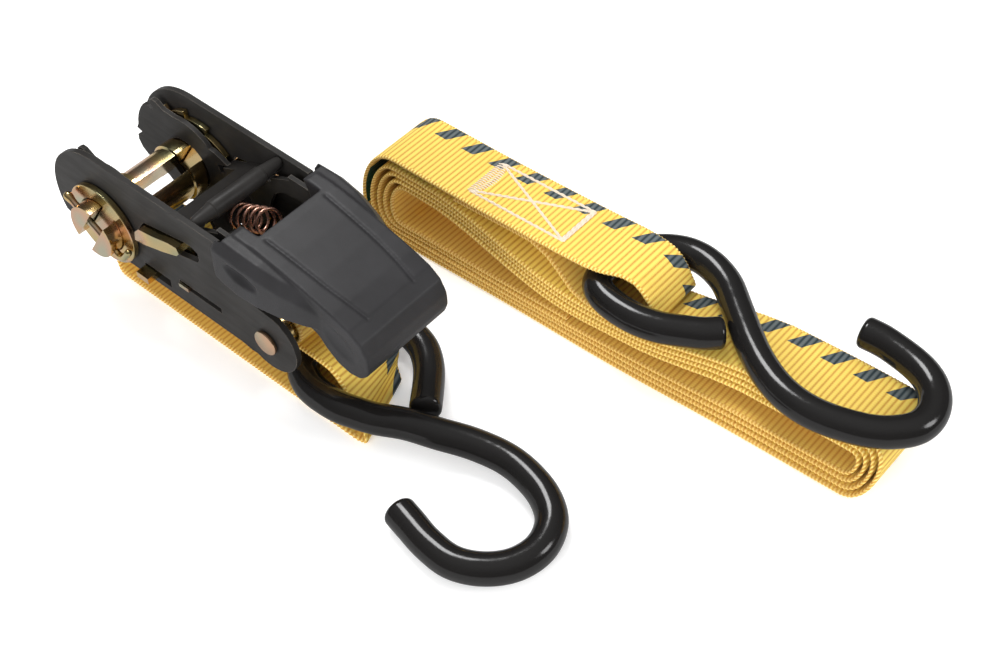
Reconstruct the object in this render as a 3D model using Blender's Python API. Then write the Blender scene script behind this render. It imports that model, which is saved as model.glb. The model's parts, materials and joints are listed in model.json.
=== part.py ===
"""One-inch ratchet strap: ratchet buckle on a short hooked strap, and a long strap in a flat coil.

World frame: metres, +Z up. The spindle axis runs along Y at x = 0, the buckle's tail points along +X
and the floor is z = 0. Dimensions below are in millimetres and are scaled once, when a mesh is made.
"""
import math

import bmesh
import bpy
from mathutils import Matrix, Vector

MM = 0.001

# buckle, drawn on a base line that lies LIFT above the floor
LIFT = 8.5
AXIS_Z = 25.0            # height of the spindle axis above that base line
FRAME_OUT = 20.0         # half width over the side plates
FRAME_IN = 18.0          # half width between the side plates
HEAD_R = 23.5            # round head of a side plate
TOP_Z = 49.5             # straight top edge of a side plate
FLOOR_Z0, FLOOR_Z1 = 10.6, 12.6
FLOOR_X0, FLOOR_X1 = 17.0, 57.0
TAIL_X, TAIL_Z, TAIL_R = 69.5, 20.7, 12.0
RIVET_X, RIVET_Z = 69.5, 20.0

# spindle
SPINDLE_R = 9.2          # where it passes through wheels, plates and washers
BOSS_R = 9.9             # fuller bosses beside the handle plates
BOSS_IN, BOSS_OUT = 8.0, 13.0
SLOT_HALF = 3.0          # half of the gap between the two halves
SLOT_DEG = 58.0          # direction of the webbing slot
SPINDLE_END = 27.0
TEETH = 12
TOOTH_TIP, TOOTH_ROOT = 20.0, 17.3
TOOTH_STEP_DEG = 32.6    # angle of one steep tooth face
WHEEL_IN, WHEEL_OUT = 15.7, 17.6
WASHER_R, WASHER_IN, WASHER_OUT = 14.3, 20.4, 22.4
COTTER_Y = 24.8

# handle
CAM_IN, CAM_OUT = 13.7, 15.3
CAM_R = 17.0
LOBE_R = 23.6
BORE_R = 9.6
PAWL_DEG = 25.0          # slide direction of the drive pawl
PAWL_HALF = 1.1
PAWL_TIP = 20.5
GRIP_HALF = 17.0
EAR_HALF = 23.0
GRIP_CLEAR_R = 62.5      # round clearance inside the grip about the spindle
DECK_CLEAR_R = 69.2      # the same between the handle plates

# webbing and hooks
WEB_W, WEB_T = 25.4, 1.3
SEAM_Y = 4.0             # middle of the short strap's sewn end
WIRE_R = 4.95

part_coll = bpy.data.collections.new("ratchet_strap")
tool_coll = bpy.data.collections.new("cutters")


def clear_scene():
    for ob in list(bpy.data.objects):
        bpy.data.objects.remove(ob, do_unlink=True)
    for coll in (part_coll, tool_coll):
        bpy.context.scene.collection.children.link(coll)


def material(name, rgb, metallic, rough):
    mat = bpy.data.materials.new(name)
    mat.use_nodes = True
    bsdf = mat.node_tree.nodes["Principled BSDF"]
    bsdf.inputs["Base Color"].default_value = (*rgb, 1.0)
    bsdf.inputs["Metallic"].default_value = metallic
    bsdf.inputs["Roughness"].default_value = rough
    return mat


def finish_mesh(name, bm, mat=None, tool=False):
    """Turn a bmesh drawn in millimetres into a named object at the current level."""
    bmesh.ops.translate(bm, verts=bm.verts, vec=(0, 0, level))
    bmesh.ops.scale(bm, vec=(MM, MM, MM), verts=bm.verts)
    bmesh.ops.recalc_face_normals(bm, faces=bm.faces)
    mesh = bpy.data.meshes.new(name)
    bm.to_mesh(mesh)
    bm.free()
    ob = bpy.data.objects.new(name, mesh)
    (tool_coll if tool else part_coll).objects.link(ob)
    if mat:
        mesh.materials.append(mat)
    if tool:
        ob.hide_render = True
        ob.display_type = "WIRE"
    return ob


def add_prism(bm, outline, y0, y1):
    """Extrude a closed (x, z) outline along Y from y0 to y1."""
    face = bm.faces.new([bm.verts.new((x, y0, z)) for x, z in outline])
    out = bmesh.ops.extrude_face_region(bm, geom=[face])
    moved = [g for g in out["geom"] if isinstance(g, bmesh.types.BMVert)]
    bmesh.ops.translate(bm, verts=moved, vec=(0, y1 - y0, 0))


def prism(name, outline, y0, y1, mat=None, tool=False):
    bm = bmesh.new()
    add_prism(bm, outline, y0, y1)
    return finish_mesh(name, bm, mat, tool)


def disc(cx, cz, r, n=48, start=0.0):
    return [(cx + r * math.cos(math.radians(start) + 2 * math.pi * i / n),
             cz + r * math.sin(math.radians(start) + 2 * math.pi * i / n)) for i in range(n)]


def arc(cx, cz, r, a0, a1, n):
    return [(cx + r * math.cos(math.radians(a0 + (a1 - a0) * i / n)),
             cz + r * math.sin(math.radians(a0 + (a1 - a0) * i / n))) for i in range(n + 1)]


def loft(name, rings, mat=None, tool=False):
    """Skin closed rings of points one after another, with flat ends."""
    bm = bmesh.new()
    rows = [[bm.verts.new(p) for p in ring] for ring in rings]
    n = len(rows[0])
    for a, b in zip(rows, rows[1:]):
        for k in range(n):
            bm.faces.new((a[k], a[(k + 1) % n], b[(k + 1) % n], b[k]))
    bm.faces.new(rows[0])
    bm.faces.new(rows[-1])
    return finish_mesh(name, bm, mat, tool)


def turned(name, cx, cz, profile, mat=None, tool=False, n=24):
    """Solid of revolution about a line along Y; the profile lists (radius, y)."""
    turns = [2 * math.pi * k / n for k in range(n)]
    return loft(name, [[(cx + r * math.cos(a), y, cz + r * math.sin(a)) for a in turns]
                       for r, y in profile], mat, tool)


def rod(name, cx, cz, r, y0, y1, n=32, mat=None, tool=False):
    return prism(name, disc(cx, cz, r, n), y0, y1, mat, tool)


def boxes(name, spans, mat=None, tool=False):
    """Cutter or piece made of separate boxes ((x0, x1), (y0, y1), (z0, z1))."""
    bm = bmesh.new()
    for (x0, x1), (y0, y1), (z0, z1) in spans:
        add_prism(bm, [(x0, z0), (x1, z0), (x1, z1), (x0, z1)], y0, y1)
    return finish_mesh(name, bm, mat, tool)


def boolean(ob, tool, op="DIFFERENCE"):
    mod = ob.modifiers.new(op.lower(), "BOOLEAN")
    mod.operation = op
    mod.solver = "EXACT"
    mod.object = tool
    return ob


def polar(pts):
    """Points given as (radius, degrees) about the spindle axis."""
    return [(r * math.cos(math.radians(a)), AXIS_Z + r * math.sin(math.radians(a))) for r, a in pts]


def along(deg, pts):
    """Points given as (u, v): u along a ray from the spindle axis, v square to it."""
    c, s = math.cos(math.radians(deg)), math.sin(math.radians(deg))
    return [(u * c - v * s, AXIS_Z + u * s + v * c) for u, v in pts]


def resample(pts, step):
    """Catmull-Rom through the points, at roughly even spacing."""
    pts = [Vector(p) for p in pts]
    ext = [2 * pts[0] - pts[1]] + pts + [2 * pts[-1] - pts[-2]]
    out = []
    for i in range(1, len(ext) - 2):
        a, b, c, d = ext[i - 1:i + 3]
        n = max(1, round((c - b).length / step))
        for k in range(n):
            t = k / n
            out.append(0.5 * ((2 * b) + (c - a) * t + (2 * a - 5 * b + 4 * c - d) * t * t
                              + (3 * b - a - 3 * c + d) * t ** 3))
    out.append(pts[-1])
    return out


def add_tube(bm, path, r, n=12, round_ends=True):
    """Sweep a circle along a 3-D path; round_ends adds flat ends with a rounded rim."""
    path = [Vector(p) for p in path]
    tang = [(path[min(i + 1, len(path) - 1)] - path[max(i - 1, 0)]).normalized()
            for i in range(len(path))]
    side = tang[0].orthogonal().normalized()
    stations = []
    rim = ((0.16, 0.96), (0.28, 0.84), (0.33, 0.66)) if round_ends else ()
    stations += [(path[0] - tang[0] * r * far, tang[0], r * wide) for far, wide in reversed(rim)]
    stations += [(p, t, r) for p, t in zip(path, tang)]
    stations += [(path[-1] + tang[-1] * r * far, tang[-1], r * wide) for far, wide in rim]
    rings = []
    for p, t, rad in stations:
        side = (side - t * side.dot(t)).normalized()
        up = t.cross(side)
        rings.append([bm.verts.new(p + rad * (side * math.cos(2 * math.pi * k / n)
                                              + up * math.sin(2 * math.pi * k / n)))
                      for k in range(n)])
    for a, b in zip(rings, rings[1:]):
        for k in range(n):
            bm.faces.new((a[k], a[(k + 1) % n], b[(k + 1) % n], b[k]))
    bm.faces.new(rings[0][::-1])
    bm.faces.new(rings[-1])


def tube(name, path, r, mat, n=12, round_ends=True):
    bm = bmesh.new()
    add_tube(bm, path, r, n, round_ends)
    return finish_mesh(name, bm, mat)


def full_width(i, x, z):
    return WEB_W


def ribbon(name, path, centre_y, skew, mat, width=full_width, thick=WEB_T):
    """Flat strip along an (x, z) path; centre_y and skew give its sideways place at each point."""
    bm = bmesh.new()
    rings = []
    for i, (x, z) in enumerate(path):
        px, pz = path[max(i - 1, 0)]
        qx, qz = path[min(i + 1, len(path) - 1)]
        d = math.hypot(qx - px, qz - pz)
        nx, nz = -(qz - pz) / d, (qx - px) / d
        cy = centre_y(i, x, z)
        ring = []
        for s, h in ((-1, -1), (1, -1), (1, 1), (-1, 1)):
            y = cy + s * width(i, x, z) / 2
            ring.append(bm.verts.new((x + nx * h * thick / 2 + skew(i, x, z, s), y,
                                      z + nz * h * thick / 2)))
        rings.append(ring)
    for a, b in zip(rings, rings[1:]):
        for k in range(4):
            bm.faces.new((a[k], a[(k + 1) % 4], b[(k + 1) % 4], b[k]))
    bm.faces.new(rings[0][::-1])
    bm.faces.new(rings[-1])
    return finish_mesh(name, bm, mat)


def smooth(x, a, b):
    t = min(1.0, max(0.0, (x - a) / (b - a)))
    return t * t * (3 - 2 * t)


clear_scene()
level = LIFT
black_steel = material("black painted steel", (0.045, 0.042, 0.04), 0.5, 0.45)
zinc = material("yellow zinc plate", (0.62, 0.45, 0.20), 0.9, 0.3)
grip_plastic = material("charcoal plastic", (0.035, 0.035, 0.038), 0.0, 0.55)
copper = material("copper spring wire", (0.55, 0.26, 0.18), 0.9, 0.3)
web_yellow = material("yellow webbing", (0.85, 0.55, 0.06), 0.0, 0.8)
thread = material("cream thread", (0.80, 0.68, 0.52), 0.0, 0.8)
vinyl = material("black vinyl coating", (0.015, 0.015, 0.015), 0.0, 0.2)


def build_frame():
    """Folded plate frame: two outer side plates, a floor, the tail rivet and the tube around it."""
    head = arc(-0.8, TOP_Z - HEAD_R, HEAD_R, 92, 205, 18)
    side = head + [(-9.0, 12.0), (-4.0, FLOOR_Z0), (57.5, FLOOR_Z0), (61.5, 9.9)]
    side += arc(TAIL_X, TAIL_Z, TAIL_R, -118, 72, 20)
    side += [(66.0, 32.7), (61.5, 33.4), (58.0, 37.0), (54.5, 45.5), (52.0, TOP_Z)]
    frame = prism("base_frame", side, -FRAME_OUT, FRAME_OUT, black_steel)
    boolean(frame, boxes("cut_frame_inside", [((-40, 95), (-FRAME_IN, FRAME_IN), (FLOOR_Z1, 70))],
                         tool=True))
    boolean(frame, boxes("cut_frame_ends", [((-40, FLOOR_X0), (-FRAME_IN, FRAME_IN), (0, 20)),
                                            ((FLOOR_X1, 95), (-FRAME_IN, FRAME_IN), (0, 20))], tool=True))
    boolean(frame, rod("cut_frame_bore", 0, AXIS_Z, BORE_R, -30, 30, 48, tool=True))
    boolean(frame, rod("cut_frame_rivet", RIVET_X, RIVET_Z, 3.1, -30, 30, 24, tool=True))
    upper_slot = [(15.9, 28.8), (21.2, 29.0), (42.4, 35.0), (43.2, 36.6), (43.0, 39.2), (40.6, 40.3),
                  (37.2, 40.2), (18.8, 36.2), (16.0, 32.0)]
    boolean(frame, prism("cut_upper_slot", upper_slot, -30, 30, tool=True))
    boolean(frame, boxes("cut_lower_slots", [(x, y, z) for y in ((-30, -17), (17, 30))
                                             for x, z in (((14.8, 26.4), (12.9, 16.3)),
                                                          ((31.3, 49.7), (17.7, 19.9)))], tool=True))
    boolean(frame, boxes("spring_stop", [((54.6, 56.4), (-6, 6), (11.6, 20.5))], tool=True), "UNION")

    boolean(frame, boxes("cut_cam_notches", [((10, 22.8), (-15.7, -13.3), (8, 14)),
                                             ((10, 22.8), (13.3, 15.7), (8, 14))], tool=True))

    # tail rivet and the tube that carries the short strap
    turned("tail_rivet", RIVET_X, RIVET_Z, [(2.0, -21.9), (4.3, -21.4), (4.3, -20.3), (2.8, -20.3),
                                            (2.8, 20.3), (4.3, 20.3), (4.3, 21.4), (2.0, 21.9)], zinc)
    roller = rod("tail_roller", RIVET_X, RIVET_Z, 4.6, -17.6, 17.6, 24, zinc)
    boolean(roller, rod("cut_roller", RIVET_X, RIVET_Z, 3.1, -30, 30, 24, tool=True))


def build_spindle():
    """Split spindle with its wheels, washers and cotter pins, all turning together."""
    ux, uz = math.cos(math.radians(SLOT_DEG)), math.sin(math.radians(SLOT_DEG))
    nx, nz = -uz, ux

    def half_section(r, flat, sign, n=18):
        """D-shaped section on one side of the webbing slot."""
        a = math.degrees(math.asin(flat / r))
        base = SLOT_DEG + (0 if sign > 0 else 180)
        return arc(0, AXIS_Z, r, base + a, base + 180 - a, n)

    def spindle_half(name, sign):
        """One half of the split shaft: a D section with two fuller bosses along it."""
        far = [(BOSS_IN - 0.4, SPINDLE_R), (BOSS_IN, BOSS_R), (BOSS_OUT - 0.4, BOSS_R),
               (BOSS_OUT, SPINDLE_R), (SPINDLE_END, SPINDLE_R)]
        near = [(-y, r) for y, r in reversed(far)]
        return loft(name, [[(x, y, z) for x, z in half_section(r, SLOT_HALF, sign)]
                           for y, r in near + far], zinc)

    for name, sign in (("spindle_half_upper", 1), ("spindle_half_lower", -1)):
        half = spindle_half(name, sign)
        for y, tag in ((-COTTER_Y, "near"), (COTTER_Y, "far")):
            bm = bmesh.new()
            add_tube(bm, [(nx * -20, y, AXIS_Z + nz * -20), (nx * 20, y, AXIS_Z + nz * 20)], 1.5, 12, False)
            boolean(half, finish_mesh("hole_%s_%s" % (name, tag), bm, tool=True))

    def keyed(ob, tag):
        """Two D holes that fit over the spindle halves, with the bar between them left standing."""
        for sign in (1, -1):
            boolean(ob, prism("key_%s_%d" % (tag, sign), half_section(BORE_R - 0.1, SLOT_HALF - 0.3, sign),
                              -30, 30, tool=True))

    wheel = []
    pitch = 360.0 / TEETH
    for i in range(TEETH):
        a = TOOTH_STEP_DEG + i * pitch
        for f in (0.0, 0.3, 0.6, 0.85, 1.0):
            wheel.append((TOOTH_TIP + (TOOTH_ROOT - TOOTH_TIP) * f, a + 0.4 + (pitch - 0.4) * f))
    for tag, y0, y1 in (("near", -WHEEL_OUT, -WHEEL_IN), ("far", WHEEL_IN, WHEEL_OUT)):
        keyed(prism("ratchet_wheel_" + tag, polar(wheel), y0, y1, zinc), "wheel_" + tag)
    for tag, y0, y1 in (("near", -WASHER_OUT, -WASHER_IN), ("far", WASHER_IN, WASHER_OUT)):
        keyed(rod("spindle_washer_" + tag, 0, AXIS_Z, WASHER_R, y0, y1, 48, zinc), "washer_" + tag)
    for tag, y in (("near", -COTTER_Y), ("far", COTTER_Y)):
        line = [(13.2, 0.0), (6.0, 0.0), (0.0, 0.0), (-6.0, 0.0), (-10.2, 0.0), (-11.8, 0.9), (-12.6, 2.6),
                (-12.8, 7.0)]
        tube("cotter_pin_" + tag, [(nx * n + ux * u, y, AXIS_Z + nz * n + uz * u) for n, u in line],
             1.15, zinc, 10)


def build_handle():
    """Cam plates, moulded grip, and the sliding drive pawl with its spring."""
    cam = [(19.0, 43.0), (CAM_R + 0.6, 48.0)]
    cam += [(CAM_R + 0.8, a) for a in range(54, 110, 8)]
    cam += [(19.5, 116), (22.6, 121), (LOBE_R, 125), (LOBE_R, 129.5), (20.6, 131.0), (20.4, 134.0),
            (22.4, 137.0)]
    cam += [(LOBE_R, a) for a in range(142, 174, 6)]
    cam += [(24.4, 176.5), (22.0, 178.0), (21.8, 181.0), (24.6, 184.0), (25.0, 189), (24.4, 196),
            (22.6, 203), (20.0, 211), (18.0, 219)]
    cam += [(CAM_R, a) for a in range(226, 340, 8)]
    outline = polar(cam)
    outline += [(17.0, 19.2), (24.0, 17.4), (29.5, 17.2), (34.0, 20.0), (36.4, 25.0), (37.8, 31.0),
                (40.2, 36.8), (44.5, 40.2), (50.0, 41.2), (62.0, 41.4), (97.0, 37.4), (97.0, 42.4),
                (62.0, 48.4), (37.0, 48.4), (31.5, 44.0), (27.0, 38.6), (23.2, 34.6)]
    for tag, y0, y1 in (("near", -CAM_OUT, -CAM_IN), ("far", CAM_IN, CAM_OUT)):
        plate = prism("handle_plate_" + tag, outline, y0, y1, black_steel)
        boolean(plate, rod("cut_bore_" + tag, 0, AXIS_Z, BORE_R, -30, 30, 48, tool=True))
        boolean(plate, prism("cut_pawl_slot_" + tag, along(PAWL_DEG, [(16.9, -1.5), (43.2, -1.5),
                                                                     (43.2, -0.2), (53.0, -0.2),
                                                                     (53.0, 14), (22.5, 14), (22.5, 1.5),
                                                                     (16.9, 1.5)]),
                             -30, 30, tool=True))
        boolean(plate, rod("cut_pin_" + tag, 88, 42.0, 2.1, -30, 30, 20, tool=True))

    profile = [(57.0, 37.0), (63.0, 36.2), (72.0, 36.2), (84.0, 36.0), (88.5, 34.6), (92.0, 30.6),
               (96.0, 27.6), (100.5, 26.4), (104.5, 27.2), (107.0, 29.6), (108.2, 33.4), (107.8, 38.0),
               (105.6, 42.2), (101.5, 45.2), (95.0, 47.4), (85.0, 50.0), (75.0, 52.2), (66.0, 53.8),
               (57.0, 54.2)]
    grip = prism("grip", profile, -GRIP_HALF, GRIP_HALF, grip_plastic)
    for tag, s in (("near", -1), ("far", 1)):
        stations = [(51.8, 40.6, 52.6, EAR_HALF - 1.4), (53.6, 37.8, 54.4, EAR_HALF - 0.3),
                    (62.0, 36.2, 54.2, EAR_HALF), (70.0, 36.0, 53.0, EAR_HALF - 0.5),
                    (78.0, 35.8, 51.0, EAR_HALF - 2.0), (86.0, 36.0, 48.8, GRIP_HALF + 1.5),
                    (93.0, 37.0, 46.0, GRIP_HALF - 1.0)]
        rings = [[(x, s * 12.0, z0), (x, s * y, z0 + 1.0), (x, s * y, z1 - 4.0),
                  (x, s * (y - 2.4), z1 - 0.8), (x, s * 12.0, z1 - 0.6)] for x, z0, z1, y in stations]
        boolean(grip, loft("grip_ear_" + tag, rings, tool=True), "UNION")
    boolean(grip, rod("cut_grip_front", 0, AXIS_Z, GRIP_CLEAR_R, -20.6, 20.6, 96, tool=True))
    boolean(grip, rod("cut_grip_deck", 0, AXIS_Z, DECK_CLEAR_R, -12.4, 12.4, 96, tool=True))
    low = arc(0, AXIS_Z, 83.0, -30, 8.2, 12) + [(52.0, 37.2), (52.0, 0.0)]
    boolean(grip, prism("cut_grip_under", low, -20.6, 20.6, tool=True))
    for tag, s in (("near", -1), ("far", 1)):
        y0, y1 = sorted((s * 13.4, s * 15.6))
        boolean(grip, prism("cut_grip_plate_" + tag, [(50, 30), (97.6, 30.0), (97.6, 42.9), (62.3, 48.9),
                                                      (50, 48.9)], y0, y1, tool=True))
    boolean(grip, rod("cut_grip_pin", 88, 42.0, 2.1, -16.0, 16.0, 20, tool=True))
    rod("grip_pin", 88, 42.0, 1.8, -15.7, 15.7, 20, black_steel)

    # drive pawl: plate with two fingers, rolled release bar, spring flange
    fingers = along(PAWL_DEG, [(PAWL_TIP, -PAWL_HALF), (38.4, -PAWL_HALF), (38.4, PAWL_HALF),
                               (PAWL_TIP, PAWL_HALF)])
    pawl = prism("drive_pawl", fingers, -17.7, 17.7, black_steel)
    boolean(pawl, prism("cut_pawl_middle", along(PAWL_DEG, [(10, -4), (27.0, -4), (27.0, 4), (10, 4)]),
                        -13.1, 13.1, tool=True))
    web = along(PAWL_DEG, [(36.0, -PAWL_HALF), (38.4, -PAWL_HALF), (45.0, 0.9), (46.5, 3.2), (44.0, 4.0),
                           (37.2, PAWL_HALF)])
    boolean(pawl, prism("add_pawl_web", web, -13.1, 13.1, tool=True), "UNION")
    bar_x, bar_z = along(PAWL_DEG, [(45.8, 3.5)])[0]
    half_bar = [(2.9, 9.8), (2.6, 10.2), (1.9, 16.5), (1.5, 17.7)]
    bar = turned("add_release_bar", bar_x, bar_z, [(r, -y) for r, y in reversed(half_bar)] + half_bar,
                 tool=True)
    boolean(pawl, bar, "UNION")
    flange = along(PAWL_DEG, [(36.6, -9.2), (38.4, -9.2), (38.4, 0.2), (36.6, 0.2)])
    boolean(pawl, prism("add_pawl_flange", flange, -7.5, 7.5, tool=True), "UNION")
    coil = []
    turns, steps = 6.5, 14
    for i in range(int(turns * steps) + 1):
        t = i / (turns * steps)
        a = 2 * math.pi * turns * t
        x, z = along(PAWL_DEG, [(39.3 + 18.2 * t, -5.4 + 3.6 * math.cos(a))])[0]
        coil.append((x, 3.6 * math.sin(a), z))
    tube("drive_spring", coil, 0.45, copper, 6, False)


def build_lock_pawl():
    """Sliding lock pawl with its outer bars, cheeks and tabs, and its spring."""
    lock = boxes("lock_pawl", [((15.2, 30.0), (-17.4, 17.4), (13.2, 15.6))], zinc)
    boolean(lock, prism("cut_lock_middle", [(10, 10), (25.4, 10), (25.4, 20), (10, 20)], -15.75, 15.75,
                        tool=True))
    for tag, s in (("near", -1), ("far", 1)):
        y0, y1 = sorted((s * 15.9, s * 24.0))
        boolean(lock, boxes("add_lock_tab_" + tag, [((15.2, 20.4), (y0, y1), (13.2, 15.6))], tool=True),
                "UNION")
        y0, y1 = sorted((s * 15.9, s * 17.4))
        cheek = [(21.6, 14.2), (29.6, 14.2), (33.0, 20.0), (36.4, 30.0), (36.8, 37.0), (33.5, 36.4),
                 (29.5, 34.6), (24.5, 32.3), (22.6, 29.0)]
        boolean(lock, prism("add_lock_cheek_" + tag, cheek, y0, y1, tool=True), "UNION")
        y0, y1 = sorted((s * 16.4, s * 20.9))
        boolean(lock, boxes("add_lock_guide_" + tag, [((31.8, 36.0), (y0, y1), (18.1, 19.5))], tool=True),
                "UNION")
        y0, y1 = sorted((s * 16.4, s * 22.6))
        bar_in = [(26.6, 32.2), (30.0, 33.2), (35.9, 35.6), (36.4, 36.8), (33.0, 36.2), (29.0, 34.4)]
        boolean(lock, prism("add_lock_bar_in_" + tag, bar_in, y0, y1, tool=True), "UNION")
        y0, y1 = sorted((s * 18.1, s * 22.6))
        out = [(16.4, 29.4), (20.4, 30.0), (30.0, 33.1), (36.2, 35.6), (37.4, 37.2), (36.6, 39.2),
               (33.0, 38.9), (26.0, 36.9), (19.2, 35.6), (17.0, 33.0)]
        boolean(lock, prism("add_lock_bar_" + tag, out, y0, y1, tool=True), "UNION")
    coil = []
    for i in range(int(6 * 12) + 1):
        t = i / 72.0
        a = 2 * math.pi * 6 * t
        coil.append((31.0 + 22.8 * t, 2.6 * math.sin(a), 16.3 + 2.6 * math.cos(a)))
    tube("lock_spring", coil, 0.4, zinc, 6, False)


def build_short_strap():
    """Short strap around the tail tube and through the eye of its hook."""
    ROLL_Z, R_ROLL = RIVET_Z + LIFT, 5.75
    up_free = [(30.0, 17.9), (40.0, 18.0), (50.0, 18.0), (56.4, 18.1), (58.8, 18.9), (60.8, 21.4),
               (62.6, 25.6)]
    wrap = arc(RIVET_X, ROLL_Z, R_ROLL, 168, -88, 20)
    down = [(66.8, 21.9), (64.0, 19.8), (61.2, 17.3), (58.0, 16.2), (54.0, 16.0), (40.0, 15.8), (20.0, 14.6),
            (2.0, 13.0), (-5.0, 12.4)]
    turn = arc(-6.0, 6.525, 5.875, 90, 270, 14)
    floor_run = [(x, WEB_T / 2) for x in (-2.0, 20.0, 50.0, 80.0, 90.0, 95.0)]
    fold = arc(96.6, 2.0, 1.3, -80, 80, 6)
    over = [(95.0, 3.0), (92.6, 2.6), (90.6, 3.0), (88.8, 5.2), (87.0, 8.8), (85.2, 12.4), (82.2, 14.6),
            (76.0, 15.1), (66.0, 14.9), (60.6, 13.6), (57.6, 11.2), (54.8, 7.2), (52.2, 3.9), (49.0, 2.6),
            (44.0, 2.4), (34.0, 2.4)]
    web_path = up_free + wrap + down + turn + floor_run + fold + over
    n_turn = len(up_free + wrap + down)
    n_fold = len(web_path) - len(over) - len(fold)

    def short_centre(i, x, z):
        if i < n_fold:
            return -2.5 * smooth(float(i), n_turn + 6, n_turn + 14)
        return -2.5 + min(SEAM_Y + 2.5, 0.66 * max(0.0, 98.0 - x))

    def short_skew(i, x, z, s):
        return -s * 4.4 * smooth(x, 85.0, 95.0) if i >= n_fold - 3 else 0.0

    ribbon("short_strap", web_path, short_centre, short_skew, web_yellow)
    stitch = boxes("short_strap_stitching",
                   [((34.5, 46.1), (SEAM_Y - 9.7, SEAM_Y - 8.5), (3.4, 3.9))], thread)
    seam = [((34.5 + 5.2 * k, 35.7 + 5.2 * k), (SEAM_Y - 9.7, SEAM_Y + 9.7), (3.4, 3.9)) for k in range(3)]
    boolean(stitch, boxes("add_seam_bars", seam, tool=True), "UNION")
    boolean(stitch, boxes("add_seam_far", [((34.5, 46.1), (SEAM_Y + 8.5, SEAM_Y + 9.7), (3.4, 3.9))],
                          tool=True), "UNION")

    hook_1 = [(128.6, -28.4, 4.95), (134.0, -29.6, 4.95), (141.5, -31.2, 4.95), (150.8, -31.4, 4.95),
              (159.0, -27.5, 4.95), (165.0, -20.5, 4.95), (167.0, -11.6, 5.0), (164.0, -2.9, 5.1),
              (157.2, 2.5, 5.3), (148.4, 5.2, 5.5), (139.4, 5.6, 5.8), (129.0, 3.0, 6.5),
              (119.2, -1.5, 7.6), (110.3, -5.5, 8.7), (102.0, -10.4, 9.25), (96.0, -12.5, 9.25),
              (91.1, -13.8, 9.0), (85.0, -13.9, 8.2), (77.8, -12.9, 7.1), (70.9, -9.4, 6.5),
              (67.6, -3.4, 6.45), (67.0, 3.6, 6.45), (69.4, 11.8, 6.45), (75.0, 19.0, 6.45),
              (82.5, 23.2, 6.45), (90.2, 22.3, 6.45), (95.4, 19.9, 6.45), (100.3, 15.8, 6.5),
              (104.4, 11.0, 6.9), (107.7, 6.6, 7.4), (110.0, 3.5, 7.8)]
    tube("hook_short", resample(hook_1, 3.0), WIRE_R, vinyl, 16)


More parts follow.
